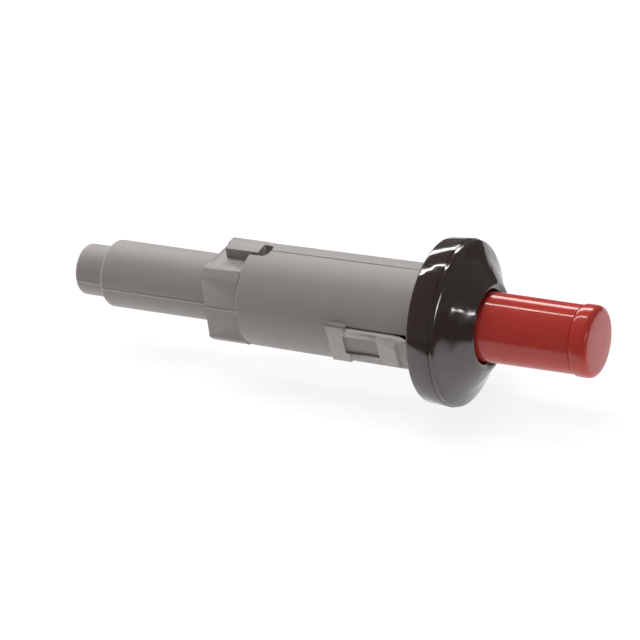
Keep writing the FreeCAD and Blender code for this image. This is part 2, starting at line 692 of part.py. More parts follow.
def ground_strip():
    """Brass strip: ring on the anvil, arm to the bore, leg along it, foot for the panel's edge."""
    half = STRIP_WIDTH / 2
    back = ANVIL_FLANGE_FRONT_X
    front = STRIP_FRONT_X
    outer = BARREL_BORE_R + STRIP_THICKNESS
    foot_x = -TAB_FRONT_GAP - STRIP_THICKNESS
    eye = ring(back, front, ANVIL_NOSE_R + SEAT_GAP, ANVIL_FLANGE_R)
    arm = box(back, front, -half, half, -outer, -ANVIL_FLANGE_R + 0.3)
    leg = box(back, foot_x + STRIP_THICKNESS, -half, half, -outer, -outer + STRIP_THICKNESS)
    foot = box(foot_x, foot_x + STRIP_THICKNESS, -half, half, -STRIP_FOOT_R, -outer)
    return eye.fuse(arm).fuse(leg).fuse(foot).removeSplitter()


# Every piece, by the name of its node

def pieces():
    """Name and solid of each piece."""
    return {
        "barrel": barrel(),
        "bezel": bezel(),
        "rear_housing": rear_housing(),
        "button": button(),
        "plunger": plunger(),
        "return_spring": coil(BUFFER_FRONT_X, FLANGE_REAR_X, RETURN_MEAN_R, RETURN_WIRE_R, RETURN_TURNS),
        "impact_spring": coil(WASHER_FRONT_X, PLUNGER_SEAT_X, IMPACT_MEAN_R, IMPACT_WIRE_R, IMPACT_TURNS),
        "reset_spring": coil(STRIP_FRONT_X, HAMMER_SHOULDER_X, RESET_MEAN_R, RESET_WIRE_R, RESET_TURNS),
        "thrust_washer": ring(HAMMER_FRONT_X, WASHER_FRONT_X, WASHER_HOLE_R, HAMMER_R),
        "buffer_washer": ring(GUIDE_FLANGE_FRONT_X, BUFFER_FRONT_X, GUIDE_R + SEAT_GAP, GUIDE_FLANGE_R),
        "guide_sleeve": guide_sleeve(),
        "hammer": hammer(),
        "cross_pin": cross_pin(),
        "anvil": anvil(),
        "anvil_ring": ring(SLEEVE_FRONT_X, ANVIL_FLANGE_FRONT_X, ANVIL_FLANGE_R + SEAT_GAP, INNER_FIT_R),
        "piezo_front": rod(CERAMIC_FRONT_REAR_X, ANVIL_REAR_X, STACK_R),
        "centre_plate": rod(PLATE_REAR_X, CERAMIC_FRONT_REAR_X, STACK_R),
        "piezo_rear": rod(CERAMIC_REAR_REAR_X, PLATE_REAR_X, STACK_R),
        "rear_electrode": rear_electrode(),
        "insulating_sleeve": ring(FLOOR_FRONT_X, SLEEVE_FRONT_X, STACK_R + SEAT_GAP, INNER_FIT_R),
        "terminal_pin": terminal_pin(),
        "ground_strip": ground_strip(),
    }


os.makedirs("parts", exist_ok=True)
for name, shape in pieces().items():
    print(name, len(shape.Solids), round(shape.Volume, 1), shape.isValid())
    shape.exportStep("parts/" + name + ".step")
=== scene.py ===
import math

import bpy
from mathutils import Matrix, Vector


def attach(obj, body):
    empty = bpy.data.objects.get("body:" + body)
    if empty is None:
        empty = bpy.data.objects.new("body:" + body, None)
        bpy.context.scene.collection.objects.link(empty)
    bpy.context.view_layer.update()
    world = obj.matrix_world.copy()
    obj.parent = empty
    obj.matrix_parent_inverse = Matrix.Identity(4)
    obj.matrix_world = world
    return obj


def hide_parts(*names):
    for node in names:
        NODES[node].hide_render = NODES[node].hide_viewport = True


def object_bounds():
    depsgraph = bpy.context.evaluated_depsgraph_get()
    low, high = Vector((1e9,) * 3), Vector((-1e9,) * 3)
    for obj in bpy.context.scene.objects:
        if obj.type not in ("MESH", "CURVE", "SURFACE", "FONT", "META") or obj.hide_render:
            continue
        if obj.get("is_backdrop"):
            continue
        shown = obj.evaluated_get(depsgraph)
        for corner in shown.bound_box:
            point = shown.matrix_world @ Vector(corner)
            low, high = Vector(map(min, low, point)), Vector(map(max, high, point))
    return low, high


bl_info = {
    "name": "Piezo igniter",
    "version": (1, 0, 0),
    "blender": (4, 5, 0),
    "location": "3D View > Sidebar > Igniter",
    "description": "Dresses the packed push-button igniter and sets its stage",
    "category": "Object",
}

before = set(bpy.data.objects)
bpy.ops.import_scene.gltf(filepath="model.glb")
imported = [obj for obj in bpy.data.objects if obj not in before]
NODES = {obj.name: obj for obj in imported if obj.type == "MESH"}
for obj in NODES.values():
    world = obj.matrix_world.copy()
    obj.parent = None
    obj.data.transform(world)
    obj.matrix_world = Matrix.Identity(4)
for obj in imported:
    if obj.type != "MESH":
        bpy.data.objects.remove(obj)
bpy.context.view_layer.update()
MM = 0.001
AXIS = Vector((1, 0, 0))

# Segments of a turned piece, and the angle past which an edge stays sharp
TURN_SEGMENTS = 96
SHARP_ANGLE = math.radians(32)
# Corners closer than this in millimetres are one, on a turned piece and on a copy of a CAD node
TURNED_MERGE = 0.0005
COPY_MERGE = 0.001
# Tests of whether a CAD face is part of a turned form: least radius, most lean of its normal along the
# axis, most distance of its corners from one line, least length to measure that over, and widest flat
ROUND_LEAST_R = 2.0
ROUND_LEAN = 0.2
ROUND_OFF_LINE = 0.01
ROUND_LEAST_SPAN = 0.1
ROUND_STEP = math.radians(14)
# A face counts as facing backwards where its normal points along the axis by more than this
FACES_BACK = 0.9

# Stations of the turned forms, as distance along the axis and radius in millimetres
BEZEL_FRONT = (
    (11.2, 8.3), (11.3, 8.75), (11.05, 9.2), (7.9, 13.4), (7.3, 14.6), (6.75, 15.8),
    (6.35, 16.6), (6.1, 17.0), (5.9, 17.2), (5.4, 17.15), (5.1, 17.15), (5.1, 17.4),
)
BEZEL_BACK = ((0.5, 17.1), (0.15, 16.95), (0.0, 16.6), (0.0, 14.3), (0.0, 12.1), (0.0, 11.35))
BEZEL_SEAT = (
    (0.4, 11.35), (0.4, 10.25), (1.6, 10.25), (2.0, 10.45), (2.4, 10.45), (2.8, 10.25),
    (4.0, 10.25), (4.0, 7.6), (10.7, 7.6),
)
# Core in the bezel's back: inner and outer radius, depth, and the ribs that cross it
BEZEL_CORE = (12.1, 14.3)
BEZEL_CORE_DEPTH = 4.2
BEZEL_RIBS = 12
BUTTON_OUTSIDE = (
    (34.8, 2.5), (34.8, 6.0), (34.72, 6.45), (34.5, 6.95), (34.15, 7.25), (33.65, 7.4),
    (32.2, 7.45), (31.6, 7.44), (31.35, 7.38), (31.05, 6.98), (30.9, 6.95), (30.8, 7.1), (3.7, 7.24),
)
BUTTON_FLANGE = ((3.7, 8.2), (3.3, 8.6), (0.7, 8.6), (0.7, 6.9), (-5.2, 6.9), (-5.2, 5.9))
BUTTON_INSIDE = ((33.0, 5.9), (33.0, 2.5))
# Cams on the skirt's end, behind this station: angles about the axis where they start and end, and length
SKIRT_END = -5.0
CAM_ANGLES = (14.0, 48.0)
CAM_REACH = 2.38
# Slanted cut of a cam's end: turn about the axis, and station and offset across the cam where it starts
CAM_SLANT_ANGLE = 15.0
CAM_SLANT_START = (-5.2, 0.32)
# Square bar that cuts it: half its diagonal, and the distance of its middle from the axis
SLANT_BAR_R = 4.0
SLANT_BAR_MIDDLE = 5.0

# Snap tabs: angle from the seam, least height of their skin, and height and half width of their pocket
TAB_ANGLE = math.radians(102)
TAB_LEAST_HEIGHT = 9.6
POCKET_RIM_HEIGHT = 10.9
POCKET_HALF_WIDTH = 2.35
# Rear end, front end and half width of a tab and of its root pad
TAB_AREAS = ((-16.6, -1.0, 3.85), (-20.9, -16.4, 4.65))
# Flash along the rear housing's parting line, behind the barrel
BARREL_REAR = -42.4
FLASH_HALF_WIDTH = 0.17

# Values between which most of a noise texture's output lies
NOISE_LOW = 0.3
NOISE_HIGH = 0.7

# Camera: turn of the axis towards it, angle of the seam, roll, the origin's place in its view across,
# down and away in millimetres, and its lens
AXIS_TURN = math.radians(26.56)
SEAM_TURN = math.radians(57.0)
CAMERA_ROLL = math.radians(8.38)
CAMERA_OFFSET = (24.92, -0.06, 700.0)
CAMERA_LENS = 193.0

# Lights: name, place, direction of the long side, length and width in metres, and power setting
LIGHTS = (
    ("key_strip", (-0.35, 0.67, 0.49), (1, 0, 0), 0.9, 0.2, "key_power"),
    ("top_strip", (-0.31, 0.21, 0.70), (1, 0, 0), 0.8, 0.05, "top_power"),
    ("fill_cloth", (-0.25, 0.08, 0.85), (1, 0, 0), 1.0, 0.6, "fill_power"),
    ("side_strip", (0.80, -0.03, 0.14), (0, 1, 0), 0.3, 0.05, "side_power"),
)
FLOOR_SIZE = 8.0
# Pool of light on the paper: centre and radius in metres, shares of the radius where it starts and
# stops fading, and its brightness inside and beyond
POOL_CENTRE = (-0.06, 0.04)
POOL_REACH = 0.13
POOL_FADE = (0.9, 1.15)
POOL_BRIGHTNESS = (0.95, 0.1)
# Paper: glow that lights the igniter from below, and the tone and glow that the camera sees
PAPER_BOUNCE = 0.45
PAPER_TONE = 0.2
PAPER_GLOW = 0.86
# Studio walls: height and grey where they are lightest and dimmest, and the white that the camera sees
WALL_FOOT = (0.05, 0.18)
WALL_TOP = (0.5, 0.15)
BACKDROP_WHITE = 0.95


def linear(hex_colour):
    """Linear colour of an sRGB hex value."""
    parts = [int(hex_colour[i:i + 2], 16) / 255 for i in (0, 2, 4)]
    return tuple(p / 12.92 if p <= 0.04045 else ((p + 0.055) / 1.055) ** 2.4 for p in parts)


class IgniterLook(bpy.types.PropertyGroup):
    """Colours and small sizes of the igniter's finish."""

    body_colour: bpy.props.FloatVectorProperty(
        name="Body", description="Moulded grey of the barrel and the rear housing",
        default=linear("8a8380"), subtype="COLOR", size=3, min=0, max=1)
    bezel_colour: bpy.props.FloatVectorProperty(
        name="Bezel", description="Brown-black of the polished bezel",
        default=linear("2c1e18"), subtype="COLOR", size=3, min=0, max=1)
    button_colour: bpy.props.FloatVectorProperty(
        name="Button", description="Red of the push button",
        default=linear("b0352c"), subtype="COLOR", size=3, min=0, max=1)
    edge_softness: bpy.props.FloatProperty(
        name="Edge softness", description="Rounding of the moulded edges",
        default=0.12 * MM, min=0.0, max=0.5 * MM, unit="LENGTH")


class StageSettings(bpy.types.PropertyGroup):
    """Light and floor of the stage."""

    key_power: bpy.props.FloatProperty(
        name="Key light", description="Power of the strip light high behind the igniter",
        default=4.2, min=0.0, unit="POWER")
    top_power: bpy.props.FloatProperty(
        name="Top light", description="Power of the thin strip light overhead",
        default=1.9, min=0.0, unit="POWER")
    fill_power: bpy.props.FloatProperty(
        name="Fill light", description="Power of the wide, dull cloth light overhead",
        default=6.4, min=0.0, unit="POWER")
    side_power: bpy.props.FloatProperty(
        name="Side light", description="Power of the low strip light that the bezel's front mirrors",
        default=0.5, min=0.0, unit="POWER")
    floor_colour: bpy.props.FloatVectorProperty(
        name="Floor", description="Colour of the paper under the igniter",
        default=linear("d8d7d5"), subtype="COLOR", size=3, min=0, max=1)


def add_node(tree, kind, settings, links=()):
    """Adds a node, sets its sockets and options by name, and links sources to its sockets."""
    node = tree.nodes.new(kind)
    for name, value in settings.items():
        if isinstance(name, int) or name in node.inputs:
            node.inputs[name].default_value = value
        else:
            setattr(node, name, value)
    for name, source in dict(links).items():
        tree.links.new(source, node.inputs[name])
    return node


def blank_material(name):
    """Empty material with its output and a Principled shader, and coordinates in millimetres."""
    material = bpy.data.materials.new(name)
    material.use_nodes = True
    tree = material.node_tree
    tree.nodes.clear()
    output = add_node(tree, "ShaderNodeOutputMaterial", {})
    shader = add_node(tree, "ShaderNodeBsdfPrincipled", {})
    tree.links.new(shader.outputs["BSDF"], output.inputs["Surface"])
    coordinates = add_node(tree, "ShaderNodeTexCoord", {})
    scaled = add_node(tree, "ShaderNodeMapping", {"Scale": (1000, 1000, 1000)},
                      {"Vector": coordinates.outputs["Object"]})
    return material, tree, shader, scaled.outputs["Vector"]


def shade(colour, share):
    """The same colour, lighter or darker by a share of itself."""
    return [min(1.0, part * share) for part in colour]


def grey(level):
    """Opaque grey of one level."""
    return (level, level, level, 1)


def mottle(tree, shader, place, colour, size_mm, spread):
    """Slight cloudy variation of a colour, with patches of a size in millimetres."""
    noise = add_node(tree, "ShaderNodeTexNoise", {"Scale": 1 / size_mm, "Detail": 4, "Roughness": 0.6},
                     {"Vector": place})
    ramp = add_node(tree, "ShaderNodeValToRGB", {}, {"Fac": noise.outputs["Fac"]})
    low, high = ramp.color_ramp.elements
    low.position, high.position = NOISE_LOW, NOISE_HIGH
    low.color = (*shade(colour, 1 - spread), 1)
    high.color = (*shade(colour, 1 + spread), 1)
    tree.links.new(ramp.outputs["Color"], shader.inputs["Base Color"])


def uneven_roughness(tree, shader, place, size_mm, low, high):
    """Roughness that wanders between two values over patches of a size in millimetres."""
    noise = add_node(tree, "ShaderNodeTexNoise", {"Scale": 1 / size_mm, "Detail": 3}, {"Vector": place})
    span = add_node(tree, "ShaderNodeMapRange",
                    {"From Min": NOISE_LOW, "From Max": NOISE_HIGH, "To Min": low, "To Max": high},
                    {"Value": noise.outputs["Fac"]})
    tree.links.new(span.outputs["Result"], shader.inputs["Roughness"])


def grain(tree, shader, place, size_mm, height_mm, strength, below=None):
    """Fine bumps of a size and height in millimetres, over another bump if one is given."""
    noise = add_node(tree, "ShaderNodeTexNoise", {"Scale": 1 / size_mm, "Detail": 2}, {"Vector": place})
    links = {"Height": noise.outputs["Fac"]}
    if below is not None:
        links["Normal"] = below
    bump = add_node(tree, "ShaderNodeBump", {"Strength": strength, "Distance": height_mm * MM}, links)
    tree.links.new(bump.outputs["Normal"], shader.inputs["Normal"])
    return bump.outputs["Normal"]


def grey_nylon(look):
    """Glass-filled nylon from a spark-eroded tool: dull, slightly chalky, a little cloudy."""
    material, tree, shader, place = blank_material("grey_moulded_nylon")
    mottle(tree, shader, place, look.body_colour, size_mm=5.0, spread=0.035)
    uneven_roughness(tree, shader, place, size_mm=2.5, low=0.52, high=0.6)
    shader.inputs["Sheen Weight"].default_value = 0.4
    sink = grain(tree, shader, place, size_mm=4.0, height_mm=0.06, strength=0.25)
    grain(tree, shader, place, size_mm=0.35, height_mm=0.02, strength=0.35, below=sink)
    return material


def grey_nylon_scored(look):
    """The same nylon where the tool was filed by hand: fine slanting scratches stand on it. Its colour is
    painted lighter than the body: painted light where the proud snap tabs catch the light.
    """
    material, tree, shader, place = blank_material("grey_nylon_scored")
    # Painted light: the body colour made 1.5 times lighter on the tabs
    mottle(tree, shader, place, shade(look.body_colour, 1.5), size_mm=3.0, spread=0.07)
    shader.inputs["Roughness"].default_value = 0.55
    shader.inputs["Sheen Weight"].default_value = 0.4
    slanted = add_node(tree, "ShaderNodeMapping", {"Rotation": (0, 0, math.radians(35))}, {"Vector": place})
    # File marks 0.45 mm apart, coarser than the real ones so that they show
    wave = add_node(tree, "ShaderNodeTexWave",
                    {"Scale": 0.7, "Distortion": 2.5, "Detail": 3, "Detail Scale": 2.0,
                     "bands_direction": "X"},
                    {"Vector": slanted.outputs["Vector"]})
    scores = add_node(tree, "ShaderNodeBump", {"Strength": 0.5, "Distance": 0.1 * MM},
                      {"Height": wave.outputs["Fac"]})
    grain(tree, shader, place, size_mm=0.4, height_mm=0.02, strength=0.3, below=scores.outputs["Normal"])
    return material


def flash_nylon_painted_highlight(look):
    """Thin flash at the parting line, painted paler than the skin: a painted highlight along its ridge."""
    material, tree, shader, place = blank_material("grey_nylon_flash")
    # Painted highlight: the body colour made 1.7 times lighter on the flash
    mottle(tree, shader, place, shade(look.body_colour, 1.7), size_mm=1.0, spread=0.1)
    shader.inputs["Roughness"].default_value = 0.7
    grain(tree, shader, place, size_mm=0.4, height_mm=0.02, strength=0.3)
    return material


def polished_bezel(look):
    """Brown-black ABS from a polished tool: deep gloss whose reflections waver where it sank."""
    material, tree, shader, place = blank_material("polished_brown_black_abs")
    mottle(tree, shader, place, look.bezel_colour, size_mm=8.0, spread=0.08)
    uneven_roughness(tree, shader, place, size_mm=6.0, low=0.07, high=0.12)
    grain(tree, shader, place, size_mm=7.0, height_mm=0.35, strength=1.0)
    shader.inputs["IOR"].default_value = 1.9
    return material


def polished_button(look):
    """Red ABS, bright and glossy, with faint drag marks along its draft."""
    material, tree, shader, place = blank_material("glossy_red_abs")
    mottle(tree, shader, place, look.button_colour, size_mm=6.0, spread=0.05)
    uneven_roughness(tree, shader, place, size_mm=4.0, low=0.09, high=0.15)
    shader.inputs["IOR"].default_value = 1.54
    stretched = add_node(tree, "ShaderNodeMapping", {"Scale": (0.05, 1, 1)}, {"Vector": place})
    drag = add_node(tree, "ShaderNodeTexNoise", {"Scale": 1 / 0.9, "Detail": 3},
                    {"Vector": stretched.outputs["Vector"]})
    marks = add_node(tree, "ShaderNodeBump", {"Strength": 0.2, "Distance": 0.05 * MM},
                     {"Height": drag.outputs["Fac"]})
    grain(tree, shader, place, size_mm=3.0, height_mm=0.05, strength=0.12, below=marks.outputs["Normal"])
    return material


def natural_acetal():
    """Undyed acetal: milky ivory with a waxy sheen."""
    material, tree, shader, place = blank_material("natural_acetal")
    mottle(tree, shader, place, linear("e4dfd2"), size_mm=4.0, spread=0.02)
    uneven_roughness(tree, shader, place, size_mm=2.0, low=0.34, high=0.44)
    grain(tree, shader, place, size_mm=0.5, height_mm=0.01, strength=0.3)
    return material


def drawn_spring_wire():
    """Drawn spring steel: bright grey with fine lines left by the die."""
    material, tree, shader, place = blank_material("drawn_spring_wire")
    mottle(tree, shader, place, linear("a9a8a5"), size_mm=1.5, spread=0.08)
    uneven_roughness(tree, shader, place, size_mm=1.0, low=0.24, high=0.38)
    shader.inputs["Metallic"].default_value = 1.0
    grain(tree, shader, place, size_mm=0.15, height_mm=0.01, strength=0.3)
    return material


def turned_steel():
    """Free-cutting steel off the lathe: fine rings follow the tool round the axis."""
    material, tree, shader, place = blank_material("turned_steel")
    mottle(tree, shader, place, linear("b2b0ac"), size_mm=3.0, spread=0.05)
    uneven_roughness(tree, shader, place, size_mm=2.0, low=0.26, high=0.36)
    shader.inputs["Metallic"].default_value = 1.0
    # Feed of 0.2 mm a turn, drawn at 0.4 mm so that it shows
    rings = add_node(tree, "ShaderNodeTexWave", {"Scale": 0.8, "Distortion": 0.3, "bands_direction": "X"},
                     {"Vector": place})
    bump = add_node(tree, "ShaderNodeBump", {"Strength": 0.3, "Distance": 0.02 * MM},
                    {"Height": rings.outputs["Fac"]})
    tree.links.new(bump.outputs["Normal"], shader.inputs["Normal"])
    return material


def vulcanised_fibre():
    """Vulcanised fibre board: dry brick brown with a papery fleck."""
    material, tree, shader, place = blank_material("vulcanised_fibre")
    mottle(tree, shader, place, linear("7c4432"), size_mm=0.8, spread=0.12)
    uneven_roughness(tree, shader, place, size_mm=0.8, low=0.6, high=0.75)
    grain(tree, shader, place, size_mm=0.3, height_mm=0.03, strength=0.5)
    return material


def nitrile_rubber():
    """Nitrile rubber: matt black with a grey bloom."""
    material, tree, shader, place = blank_material("nitrile_rubber")
    mottle(tree, shader, place, linear("262523"), size_mm=2.0, spread=0.15)
    uneven_roughness(tree, shader, place, size_mm=1.0, low=0.55, high=0.7)
    grain(tree, shader, place, size_mm=0.4, height_mm=0.02, strength=0.4)
    return material


def fired_ceramic():
    """Fired and ground lead-zirconate ceramic: dense sandy buff, barely glossy."""
    material, tree, shader, place = blank_material("fired_ceramic")
    mottle(tree, shader, place, linear("b9a98c"), size_mm=1.2, spread=0.06)
    uneven_roughness(tree, shader, place, size_mm=0.8, low=0.42, high=0.55)
    grain(tree, shader, place, size_mm=0.2, height_mm=0.015, strength=0.4)
    return material


def rolled_brass():
    """Rolled and blanked brass: warm yellow, lightly tarnished."""
    material, tree, shader, place = blank_material("rolled_brass")
    mottle(tree, shader, place, linear("c2a25c"), size_mm=2.5, spread=0.1)
    uneven_roughness(tree, shader, place, size_mm=1.2, low=0.24, high=0.4)
    shader.inputs["Metallic"].default_value = 1.0
    grain(tree, shader, place, size_mm=0.3, height_mm=0.01, strength=0.3)
    return material


def clear_selection():
    """Leaves nothing selected and nothing in edit mode."""
    if bpy.context.object is not None and bpy.context.object.mode != "OBJECT":
        bpy.ops.object.mode_set(mode="OBJECT")
    bpy.ops.object.select_all(action="DESELECT")


def apply_modifiers(piece):
    """Applies every modifier of the piece, from the first to the last."""
    bpy.context.view_layer.objects.active = piece
    for modifier in list(piece.modifiers):
        bpy.ops.object.modifier_apply(modifier=modifier.name)


def turned_shell(name, stations):
    """Shell turned about the axis, each ring extruded from the one before, left open in edit mode."""
    clear_selection()
    x, r = stations[0]
    bpy.ops.mesh.primitive_circle_add(
        vertices=TURN_SEGMENTS, radius=r * MM, fill_type="NOTHING",
        location=(x * MM, 0, 0), rotation=(0, math.pi / 2, 0))
    piece = bpy.context.object
    piece.name = name
    bpy.ops.object.transform_apply(location=True, rotation=True, scale=True)
    bpy.ops.object.mode_set(mode="EDIT")
    bpy.ops.mesh.select_mode(type="EDGE")
    bpy.ops.mesh.select_all(action="SELECT")
    for next_x, next_r in stations[1:]:
        bpy.ops.mesh.extrude_edges_move(TRANSFORM_OT_translate={"value": ((next_x - x) * MM, 0, 0)})
        bpy.ops.transform.resize(value=(1, next_r / r, next_r / r), center_override=(next_x * MM, 0, 0))
        x, r = next_x, next_r
    return piece


def close_shell(closing):
    """Closes the shell in edit mode, by an operator that joins or fills its two open rings."""
    bpy.ops.mesh.select_all(action="SELECT")
    bpy.ops.mesh.region_to_loop()
    closing()
    bpy.ops.mesh.select_all(action="SELECT")
    bpy.ops.mesh.remove_doubles(threshold=TURNED_MERGE * MM)
    bpy.ops.mesh.normals_make_consistent(inside=False)
    bpy.ops.object.mode_set(mode="OBJECT")


def extrude_along_axis(piece, wanted, length_mm):
    """Extrudes the wanted faces by a length in millimetres, towards the button where it is above 0."""
    select_faces(piece, wanted)
    bpy.ops.object.mode_set(mode="EDIT")
    bpy.ops.mesh.select_mode(type="FACE")
    bpy.ops.mesh.extrude_region_move(TRANSFORM_OT_translate={"value": (length_mm * MM, 0, 0)})
    bpy.ops.object.mode_set(mode="OBJECT")


def select_faces(piece, wanted):
    """Selects the faces for which wanted(centre, normal) is true."""
    for edge in piece.data.edges:
        edge.select = False
    for vertex in piece.data.vertices:
        vertex.select = False
    for face in piece.data.polygons:
        face.select = wanted(face.center, face.normal)


def angle_about_axis(place):
    """Angle in degrees about the axis, from +Y towards +Z."""
    return math.degrees(math.atan2(place.z, place.y)) % 360


def finish_piece(piece, material, soften=0.0):
    """Softens sharp edges, shades the piece smooth and gives it its material."""
    clear_selection()
    piece.select_set(True)
    bpy.context.view_layer.objects.active = piece
    if soften > 0:
        bevel = piece.modifiers.new("soft edges", "BEVEL")
        bevel.width = soften
        bevel.segments = 2
        bevel.limit_method = "ANGLE"
        bevel.angle_limit = SHARP_ANGLE
        bevel.use_clamp_overlap = True
        apply_modifiers(piece)
    bpy.ops.object.shade_smooth_by_angle(angle=SHARP_ANGLE)
    piece.data.materials.clear()
    piece.data.materials.append(material)


def merged_copy(name, node):
    """Copy of a CAD node whose loose triangles are joined into one mesh."""
    clear_selection()
    piece = NODES[node].copy()
    piece.data = NODES[node].data.copy()
    piece.name = name
    bpy.context.scene.collection.objects.link(piece)
    piece.parent = None
    piece.matrix_world = Matrix.Identity(4)
    piece.select_set(True)
    bpy.context.view_layer.objects.active = piece
    bpy.ops.object.mode_set(mode="EDIT")
    bpy.ops.mesh.select_all(action="SELECT")
    bpy.ops.mesh.remove_doubles(threshold=COPY_MERGE * MM)
    bpy.ops.object.mode_set(mode="OBJECT")
    return piece


def is_round(mesh, face):
    """True where a face lies on a form turned about the axis."""
    corners = [mesh.vertices[index].co for index in face.vertices]
    stations = [(place.x, math.hypot(place.y, place.z)) for place in corners]
    if min(reach for x, reach in stations) < ROUND_LEAST_R * MM or abs(face.normal.x) > ROUND_LEAN:
        return False
    (x0, r0), (x1, r1), (x2, r2) = stations[:3]
    off_line = abs((x1 - x0) * (r2 - r0) - (x2 - x0) * (r1 - r0))
    longest = max(abs(x1 - x0), abs(x2 - x0), abs(x2 - x1), ROUND_LEAST_SPAN * MM)
    if off_line / longest > ROUND_OFF_LINE * MM:
        return False
    across = math.hypot(face.normal.y, face.normal.z)
    cosines = [(place.y * face.normal.y + place.z * face.normal.z) / reach / across
               for place, (x, reach) in zip(corners, stations)]
    return min(abs(cosine) for cosine in cosines) > math.cos(ROUND_STEP)


def add_finish(piece, material, wanted):
    """Gives a piece one more material, on the faces whose centre is wanted."""
    piece.data.materials.append(material)
    for face in piece.data.polygons:
        if wanted(face.center):
            face.material_index = len(piece.data.materials) - 1


def true_normals(piece):
    """Gives round faces the normals of their turned form, and flat faces their own."""
    clear_selection()
    piece.select_set(True)
    weighted = piece.modifiers.new("flat faces stay flat", "WEIGHTED_NORMAL")
    weighted.keep_sharp = True
    weighted.weight = 100
    apply_modifiers(piece)
    mesh = piece.data
    normals = [Vector(corner.vector) for corner in mesh.corner_normals]
    for face in mesh.polygons:
        if not is_round(mesh, face):
            continue
        across = math.hypot(face.normal.y, face.normal.z)
        for loop in face.loop_indices:
            place = mesh.vertices[mesh.loops[loop].vertex_index].co
            outward = Vector((0, place.y, place.z)).normalized()
            if outward.dot(face.normal) < 0:
                outward = -outward
            normals[loop] = (outward * across + AXIS * face.normal.x).normalized()
    mesh.normals_split_custom_set(normals)


class IGNITER_OT_body(bpy.types.Operator):
    """Dresses the barrel and the rear housing in grey moulded nylon"""

    bl_idname = "igniter.body"
    bl_label = "Barrel and rear housing"

    def execute(self, context):
        look = context.scene.igniter_look
        nylon = grey_nylon(look)
        for name, node in (("barrel_moulding", "barrel"), ("rear_moulding", "rear_housing")):
            piece = merged_copy(name, node)
            finish_piece(piece, nylon)
            true_normals(piece)
            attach(piece, "housing")
            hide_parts(node)
        # The snap tabs take the nylon painted lighter, as painted light where they catch the light
        add_finish(bpy.data.objects["barrel_moulding"], grey_nylon_scored(look), self.on_snap_tab)
        # The flash takes the nylon painted paler, as a painted highlight along its ridge
        add_finish(bpy.data.objects["rear_moulding"], flash_nylon_painted_highlight(look), self.on_parting_line)
        return {"FINISHED"}

    def on_snap_tab(self, centre):
        """True on the outside of either snap tab or of its root pad, but not in the pocket."""
        place = centre / MM
        for angle in (TAB_ANGLE, -TAB_ANGLE):
            aside = abs(place.y * math.cos(angle) + place.z * math.sin(angle))
            height = place.z * math.cos(angle) - place.y * math.sin(angle)
            in_pocket = height < POCKET_RIM_HEIGHT and aside < POCKET_HALF_WIDTH
            if height < TAB_LEAST_HEIGHT or in_pocket:
                continue
            if any(rear < place.x < front and aside < half for rear, front, half in TAB_AREAS):
                return True
        return False

    def on_parting_line(self, centre):
        """True on the thin flash along the rear housing."""
        return centre.x < BARREL_REAR * MM and abs(centre.z) < FLASH_HALF_WIDTH * MM


class IGNITER_OT_bezel(bpy.types.Operator):
    """Models the bezel: turned front, cored back and twelve ribs"""

    bl_idname = "igniter.bezel"
    bl_label = "Bezel"

    def execute(self, context):
        look = context.scene.igniter_look
        piece = turned_shell("bezel_moulding", BEZEL_FRONT + BEZEL_BACK + BEZEL_SEAT)
        close_shell(bpy.ops.mesh.bridge_edge_loops)
        low, high = BEZEL_CORE
        rib_step = 360 / BEZEL_RIBS
        half_rib = 360 / TURN_SEGMENTS / 2

        def in_core(centre, normal):
            reach = math.hypot(centre.y, centre.z) / MM
            from_rib = (angle_about_axis(centre) - rib_step / 2) % rib_step
            at_rib = min(from_rib, rib_step - from_rib) < half_rib
            return normal.x < -FACES_BACK and low < reach < high and not at_rib

        extrude_along_axis(piece, in_core, BEZEL_CORE_DEPTH)
        finish_piece(piece, polished_bezel(look), look.edge_softness)
        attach(piece, "housing")
        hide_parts("bezel")
        return {"FINISHED"}


class IGNITER_OT_button(bpy.types.Operator):
    """Models the push button: cap with a lip, stop flange, and skirt with two cams"""

    bl_idname = "igniter.button"
    bl_label = "Push button"

    def execute(self, context):
        look = context.scene.igniter_look
        piece = turned_shell("button_cap", BUTTON_OUTSIDE + BUTTON_FLANGE + BUTTON_INSIDE)
        close_shell(bpy.ops.mesh.edge_face_add)
        start, end = CAM_ANGLES

        def in_cam(centre, normal):
            at_skirt = normal.x < -FACES_BACK and centre.x < SKIRT_END * MM
            return at_skirt and start < angle_about_axis(centre) % 180 < end

        extrude_along_axis(piece, in_cam, -CAM_REACH)
        for side in (0, 180):
            self.slant_cam(piece, math.radians(CAM_SLANT_ANGLE + side))
        finish_piece(piece, polished_button(look), look.edge_softness / 2)
        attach(piece, "push_button")
        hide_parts("button")
        return {"FINISHED"}

    def slant_cam(self, piece, angle):
        """Cuts a cam's end at 45 degrees with a square bar that stands on its edge."""
        start_x, across = CAM_SLANT_START
        x = start_x - SLANT_BAR_R
        y = SLANT_BAR_MIDDLE * math.cos(angle) - across * math.sin(angle)
        z = SLANT_BAR_MIDDLE * math.sin(angle) + across * math.cos(angle)
        clear_selection()
        bpy.ops.mesh.primitive_cylinder_add(
            vertices=4, radius=SLANT_BAR_R * MM, depth=2 * SLANT_BAR_MIDDLE * MM,
            location=(x * MM, y * MM, z * MM), rotation=(angle + math.pi / 2, 0, 0))
        bar = bpy.context.object
        cut = piece.modifiers.new("cam slant", "BOOLEAN")
        cut.operation = "DIFFERENCE"
        cut.object = bar
        clear_selection()
        piece.select_set(True)
        apply_modifiers(piece)
        bpy.data.objects.remove(bar)


